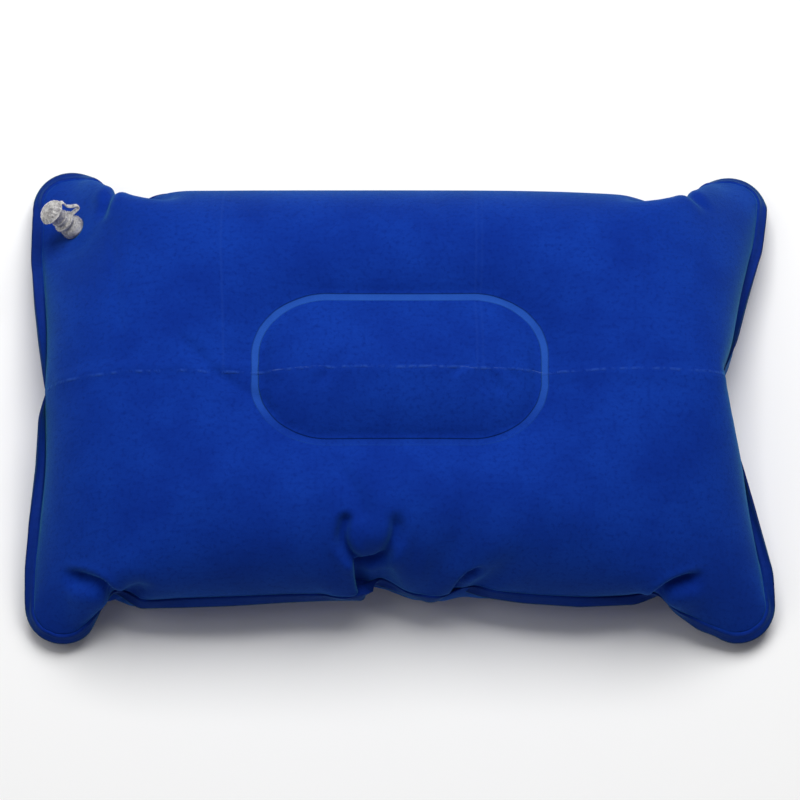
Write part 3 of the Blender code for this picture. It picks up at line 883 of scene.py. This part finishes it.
def flock(name):
    """Short blue pile on PVC: brushed patches, grain, a flattened oval weld whose pale band is painted
    highlight, packing creases pale with wear, and a flange darkened with painted shade.
    """
    net = Net(name)
    shader = net.shader
    uv = net.node("ShaderNodeUVMap")
    uv.uv_map = "flat"
    plane = uv.outputs[0]
    x, y, _ = net.split(plane)
    cloud = net.noise(plane, 22.0, 4.0, 0.6)
    brushed = net.noise(net.vector("MULTIPLY", plane, (90.0, 380.0, 1.0)), 1.0, 4.0, 0.65)
    mottle = net.noise(plane, 420.0, 3.0, 0.6)
    grain = net.noise(plane, 2600.0, 2.0, 0.7)

    dark = (0.0013, 0.0165, 0.195, 1)
    plain = (0.0022, 0.0245, 0.255, 1)
    light = (0.0034, 0.0350, 0.315, 1)
    colour = net.mix(net.step(cloud, 0.32, 0.68), plain, light)
    colour = net.mix(net.math("MULTIPLY", net.step(brushed, 0.45, 0.75), 0.3), colour, dark)
    colour = net.mix(net.math("MULTIPLY", net.step(mottle, 0.46, 0.74), 0.6), colour, dark)
    colour = net.mix(net.math("MULTIPLY", net.step(grain, 0.55, 0.85), 0.4), colour, light)

    # weld of the oval: a pale band that is painted highlight, lightest towards the far side where the weld
    # catches the light
    squeezed = net.vector("MULTIPLY", plane, (RING_SQUEEZE, 1.0, 1.0))
    ring = box_gap(net, squeezed, RING_X * RING_SQUEEZE, RING_Y, RING_R)
    band = line_mark(net, ring, 0.0, 0.0014, 0.0009)
    far_side_highlight = net.step(y, -RING_Y * 0.95, -RING_Y * 0.1)
    band_breakup = net.math("MULTIPLY_ADD", net.noise(plane, 60.0, 3.0, 0.6), 0.8, 0.5, clamp=True)
    shown = net.math("MULTIPLY", band, net.math("MULTIPLY_ADD", far_side_highlight, 0.92, 0.08))
    # painted highlight: the weld band's pale colour, broken up by noise
    colour = net.mix(net.math("MULTIPLY", shown, band_breakup), colour, (0.016, 0.078, 0.40, 1))

    # packing creases: pale worn lines, broken up by noise, and whitish dashes along the middle one
    broken = net.step(net.noise(net.vector("MULTIPLY", plane, (120.0, 40.0, 1.0)), 1.0, 4.0, 0.7), 0.42, 0.62)
    wander = net.math("MULTIPLY", net.math("SUBTRACT", net.noise(plane, 35.0, 2.0), 0.5), 0.0025)
    bow = net.math("MULTIPLY", net.step(net.math("ABSOLUTE", x), 0.1, 0.22), 0.003)
    middle = net.math("SUBTRACT", net.math("ADD", net.math("ADD", y, 0.0030), wander), bow)
    long_line = net.math("MULTIPLY", line_mark(net, middle, 0.0, 0.0002, 0.0011), broken)
    colour = net.mix(net.math("MULTIPLY", long_line, 0.6), colour, (0.018, 0.066, 0.36, 1))
    dashes = net.step(net.noise(net.vector("MULTIPLY", plane, (70.0, 500.0, 1.0)), 1.0, 4.0, 0.7), 0.54, 0.66)
    hair = net.math("MULTIPLY", line_mark(net, middle, 0.0003, 0.00015, 0.0007), dashes)
    sideways = net.math("ABSOLUTE", net.math("SUBTRACT", x, 0.015))
    near_middle = net.math("SUBTRACT", 1.0, net.step(sideways, 0.07, 0.11))
    shown = net.math("MULTIPLY", net.math("MULTIPLY", hair, near_middle), 0.45)
    colour = net.mix(shown, colour, (0.10, 0.19, 0.50, 1))
    upper = net.step(y, -0.012, 0.0)
    for place, share in ((-0.1000, 0.12), (0.0430, 0.10), (0.0463, 0.08)):
        upright = line_mark(net, net.math("ADD", x, net.math("MULTIPLY", wander, 0.3)), place, 0.0002, 0.0009)
        shown = net.math("MULTIPLY", net.math("MULTIPLY", upright, upper), share)
        colour = net.mix(shown, colour, (0.018, 0.066, 0.36, 1))

    # welded flange: flattened pile with a groove along the seam; its darker colour is painted shade, and its
    # outermost edge is darker still
    edge = net.math("MULTIPLY", box_gap(net, plane, FLAT_X / 2, FLAT_Y / 2, CORNER_R), -1.0)
    pressed_and_shaded = net.math("SUBTRACT", 1.0, net.step(edge, FLANGE - 0.0012, FLANGE + 0.0006))
    # painted shade darkens the flange's colour
    colour = net.mix(net.math("MULTIPLY", pressed_and_shaded, 0.55), colour, (0.0020, 0.0135, 0.115, 1))
    rim = net.math("SUBTRACT", 1.0, net.step(edge, 0.0002, 0.0012))
    colour = net.mix(net.math("MULTIPLY", rim, 0.6), colour, (0.003, 0.011, 0.060, 1))
    net.put(shader, "Base Color", colour)

    pile = net.bump(grain, 0.35, 0.0004)
    pile = net.bump(mottle, 0.16, 0.0008, pile)
    weld = net.math("MULTIPLY", band, -1.0)
    groove = line_mark(net, edge, FLANGE, 0.0004, 0.0010)
    ribs = net.math("SINE", net.math("MULTIPLY", edge, 4200.0))
    rib_height = net.math("MULTIPLY", net.math("MULTIPLY", ribs, pressed_and_shaded), 0.04)
    height = net.math("ADD", net.math("SUBTRACT", weld, net.math("MULTIPLY", groove, 0.5)), rib_height)
    height = net.math("ADD", height, net.math("MULTIPLY", long_line, 0.5))
    net.put(shader, "Normal", net.bump(height, 0.8, 0.0008, pile))
    rough = net.math("MULTIPLY_ADD", mottle, 0.12, 0.82)
    net.put(shader, "Roughness", net.math("SUBTRACT", rough, net.math("MULTIPLY", pressed_and_shaded, 0.18)))
    shader.inputs["Specular IOR Level"].default_value = 0.06
    shader.inputs["Sheen Weight"].default_value = 0.19
    shader.inputs["Sheen Roughness"].default_value = 0.4
    shader.inputs["Sheen Tint"].default_value = (0.20, 0.92, 0.90, 1)
    return net.material


def clear_pvc():
    """Clear soft PVC with a warm haze, painted highlights and painted dark streaks in place of light bent
    inside it, and small dents.
    """
    net = Net("clear_pvc_look")
    shader = net.shader
    place = net.node("ShaderNodeTexCoord").outputs["Object"]
    haze = net.noise(place, 260.0, 4.0, 0.6)
    bent = net.vector("ADD", place, net.vector("SCALE", net.join(haze, haze, haze), 0.004))
    swirl = net.noise(bent, 620.0, 3.0, 0.65)
    colour = net.mix(net.step(haze, 0.35, 0.65), (0.47, 0.45, 0.45, 1), (0.88, 0.86, 0.83, 1))
    # painted highlights and painted dark streaks, standing in for light bent inside the clear plastic
    colour = net.mix(net.step(swirl, 0.52, 0.66), colour, (1.0, 0.99, 0.97, 1))
    colour = net.mix(net.math("MULTIPLY", net.step(swirl, 0.46, 0.34), 0.5), colour, (0.16, 0.17, 0.24, 1))
    net.put(shader, "Base Color", colour)
    net.put(shader, "Roughness", net.math("MULTIPLY_ADD", haze, 0.22, 0.05))
    dents = net.bump(net.noise(place, 420.0, 3.0, 0.6), 0.4, 0.0008)
    net.put(shader, "Normal", net.bump(swirl, 0.25, 0.0004, dents))
    shader.inputs["Transmission Weight"].default_value = 0.5
    shader.inputs["IOR"].default_value = 1.45
    shader.inputs["Coat Weight"].default_value = 0.5
    shader.inputs["Coat Roughness"].default_value = 0.05
    return net.material


def sleeve_film(name):
    """Bare blue PVC film: milky patches, fine creases and scuffs, and a satin face."""
    net = Net(name)
    shader = net.shader
    place = net.node("ShaderNodeTexCoord").outputs["Object"]
    cloud = net.noise(place, 40.0, 4.0, 0.6)
    crease = net.noise(net.vector("MULTIPLY", place, (260.0, 260.0, 60.0)), 1.0, 4.0, 0.7)
    colour = net.mix(net.step(cloud, 0.35, 0.65), (0.006, 0.040, 0.24, 1), (0.014, 0.066, 0.32, 1))
    colour = net.mix(net.math("MULTIPLY", net.step(crease, 0.56, 0.7), 0.5), colour, (0.04, 0.12, 0.42, 1))
    net.put(shader, "Base Color", colour)
    net.put(shader, "Roughness", net.math("MULTIPLY_ADD", cloud, 0.3, 0.25))
    net.put(shader, "Normal", net.bump(crease, 0.5, 0.0010))
    shader.inputs["Specular IOR Level"].default_value = 0.4
    return net.material


# ---------------------------------------------------------------- making

flat = flat_sheet()
points = inflate(flat, STEPS)
fine_flat = refined(flat)
front_points = folded(refined(points[0]), fine_flat, 1.0, FRONT_FOLDS)
back_points = folded(refined(points[1]), fine_flat, -1.0, BACK_FOLDS)
out, lift = seat_distance(front_points.reshape(-1, 3))
hole = (out < HOLE_R) & (np.abs(lift) < 0.02)
velvet = flock("flock_look")
front = settle(sheet_object("front_skin", front_points, fine_flat, True, velvet, hole))
back = settle(sheet_object("back_skin", back_points, fine_flat, False, velvet))
film = sleeve_film("sleeve_film_look")
sleeve, sleeve_flat = sleeve_object("sleeve_wall", front_points, back_points, fine_flat, film)
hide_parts("front_panel")
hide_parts("back_panel")
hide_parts("tie_sleeve")
for piece in (front, back, sleeve):
    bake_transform(piece)

pvc = clear_pvc()
disc = turned("valve_weld_disc", WELD_DISC, pvc)
dome = turned("valve_dome", DOME, pvc, ribs=dome_ribs)
tube = turned("valve_tube", TUBE, pvc, ribs=tube_ribs)
plug = turned("valve_stopper", (*HEAD, *nose()), pvc, closed=False, ribs=head_ribs)
strap = strap_object("valve_tether", pvc)
flap = turned("valve_flap_disc", FLAP, pvc, closed=False, ribs=flap_ribs)
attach(disc, "valve_seat")
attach(tube, "stem")
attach(plug, "plug")
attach(flap, "flap")
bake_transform(dome)
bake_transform(strap)
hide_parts("valve_flange")
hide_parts("valve_skirt")
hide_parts("valve_stem")
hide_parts("valve_plug")
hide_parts("valve_strap")
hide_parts("valve_flap")

# ---------------------------------------------------------------- stage


def stage():
    bpy.ops.mesh.primitive_plane_add(size=8)
    floor = bpy.context.object
    floor.name = "floor"
    look = bpy.data.materials.new("floor_look")
    look.use_nodes = True
    shader = look.node_tree.nodes["Principled BSDF"]
    shader.inputs["Base Color"].default_value = (0.95, 0.95, 0.95, 1)
    shader.inputs["Roughness"].default_value = 0.9
    floor.data.materials.append(look)
    world = bpy.data.worlds.new("studio")
    world.use_nodes = True
    sky = world.node_tree.nodes["Background"]
    sky.inputs["Color"].default_value = (1, 1, 1, 1)
    sky.inputs["Strength"].default_value = 0.15
    bpy.context.scene.world = world


def area_light(name, at, aim, size, watts):
    light = bpy.data.lights.new(name, "AREA")
    light.size = size
    light.energy = watts
    made = bpy.data.objects.new(name, light)
    made.location = at
    made.rotation_euler = (Vector(aim) - Vector(at)).to_track_quat("-Z", "Y").to_euler()
    bpy.context.scene.collection.objects.link(made)


ELEVATION = math.radians(72)
DISTANCE = 2.4
AIM = Vector((0.0, 0.0, 0.0225))
FRAME_WIDTH = 0.464


def camera():
    data = bpy.data.cameras.new("camera")
    data.sensor_width = 36
    data.lens = 36 * DISTANCE / FRAME_WIDTH
    made = bpy.data.objects.new("camera", data)
    way = Vector((0, -math.cos(ELEVATION), math.sin(ELEVATION)))
    made.location = AIM + way * DISTANCE
    made.rotation_euler = (-way).to_track_quat("-Z", "Y").to_euler()
    bpy.context.scene.collection.objects.link(made)
    bpy.context.scene.camera = made


stage()
area_light("key", (0.15, 0.95, 1.9), (0, 0, 0), 1.5, 47)
area_light("fill", (-0.9, 0.1, 1.7), (0, 0, 0), 1.2, 5)
bpy.context.scene.view_settings.view_transform = "Standard"
camera()
